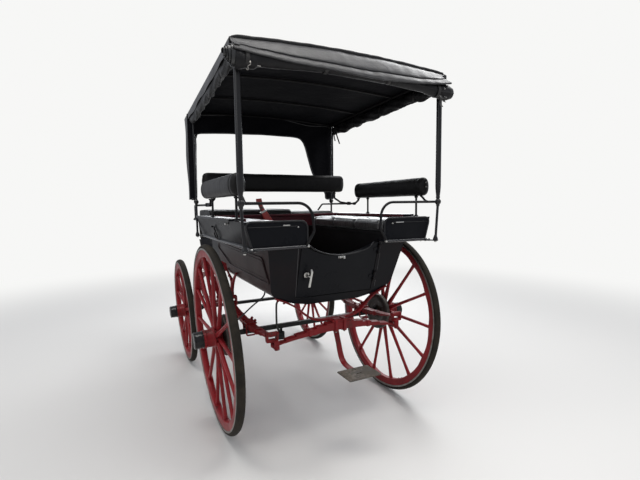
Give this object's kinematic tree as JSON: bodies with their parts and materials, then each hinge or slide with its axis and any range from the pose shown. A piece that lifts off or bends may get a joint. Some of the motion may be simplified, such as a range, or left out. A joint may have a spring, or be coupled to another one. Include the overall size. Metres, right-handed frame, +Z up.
{
  "type": "four-wheeled wagonette carriage",
  "caption": "Open passenger carriage with lengthwise facing benches, rear door and step, flat canopy with rolled curtains, spoked wheels and a turning fore-carriage",
  "frame": {"origin": "on the ground under the middle of the vehicle's overall length and width", "axes": "front is -Y, the vehicle's left side is +X, +Z is up from the ground the wheels stand on"},
  "size_m": [1.6124, 2.633, 2.2639],
  "materials": {
    "red_wood": "gloss",
    "red_iron": "gloss",
    "black_iron": "satin",
    "black_panel": "gloss",
    "maroon_panel": "gloss",
    "rubber": "matte",
    "cap_black": "gloss",
    "bright_steel": "satin",
    "hose_rubber": "satin",
    "black_leather": "satin",
    "canopy_cloth": "matte"
  },
  "bodies": {
    "body": {"tub": "maroon_panel", "side_panels": "black_panel", "end_panels": "black_panel", "benches": "maroon_panel", "bench_cushions": "black_leather", "bench_backrests": "black_leather", "seat_irons": "black_iron", "bulkhead": "maroon_panel", "driver_box": "black_panel", "driver_cushions": "black_leather", "driver_backrest": "black_leather", "footboard": "black_panel", "dash": "black_leather", "canopy_posts": "black_iron", "canopy_frame": "black_iron", "canopy_roof": "canopy_cloth", "side_curtains": "canopy_cloth", "rear_curtain": "canopy_cloth", "front_curtain": "canopy_cloth", "side_springs": "red_iron", "cross_spring": "red_iron", "spring_shackles": "red_iron", "spring_irons": "red_iron", "rear_axle": "black_iron", "brake_hoses": "hose_rubber", "rear_step": "red_iron", "brake_lever": "red_iron", "turntable": "red_iron"},
    "door": {"rear_door": "black_panel", "door_handle": "bright_steel"},
    "fore_carriage": {"fore_carriage": "red_wood", "front_axle": "black_iron", "front_springs": "red_iron", "splinter_bar": "red_wood"},
    "rear_wheel_left": {"rear_tyre_left": "rubber", "rear_wheel_left": "red_wood", "rear_cap_left": "cap_black", "brake_drum_left": "bright_steel"},
    "rear_wheel_right": {"rear_tyre_right": "rubber", "rear_wheel_right": "red_wood", "rear_cap_right": "cap_black", "brake_drum_right": "bright_steel"},
    "front_wheel_left": {"front_tyre_left": "rubber", "front_wheel_left": "red_wood", "front_cap_left": "cap_black"},
    "front_wheel_right": {"front_tyre_right": "rubber", "front_wheel_right": "red_wood", "front_cap_right": "cap_black"}
  },
  "joints": [
    {"name": "door_hinge", "type": "hinge", "parent": "body", "child": "door", "pos_m": [-0.27, 1.02272, 1.06729], "axis": [0, 0.3007, 0.9537], "range_deg": [0, 100]},
    {"name": "fore_carriage_turn", "type": "hinge", "parent": "body", "child": "fore_carriage", "pos_m": [0, -0.743, 0.93], "axis": [0, 0, 1], "range_deg": [-35, 35]},
    {"name": "rear_left_spin", "type": "hinge", "parent": "body", "child": "rear_wheel_left", "pos_m": [0.67, 0.57, 0.59921], "axis": [0.9986, 0, -0.0523], "continuous": true},
    {"name": "rear_right_spin", "type": "hinge", "parent": "body", "child": "rear_wheel_right", "pos_m": [-0.67, 0.57, 0.59921], "axis": [-0.9986, 0, -0.0523], "continuous": true},
    {"name": "front_left_spin", "type": "hinge", "parent": "fore_carriage", "child": "front_wheel_left", "pos_m": [0.66, -0.743, 0.47439], "axis": [0.9986, 0, -0.0523], "continuous": true},
    {"name": "front_right_spin", "type": "hinge", "parent": "fore_carriage", "child": "front_wheel_right", "pos_m": [-0.66, -0.743, 0.47439], "axis": [-0.9986, 0, -0.0523], "continuous": true}
  ]
}
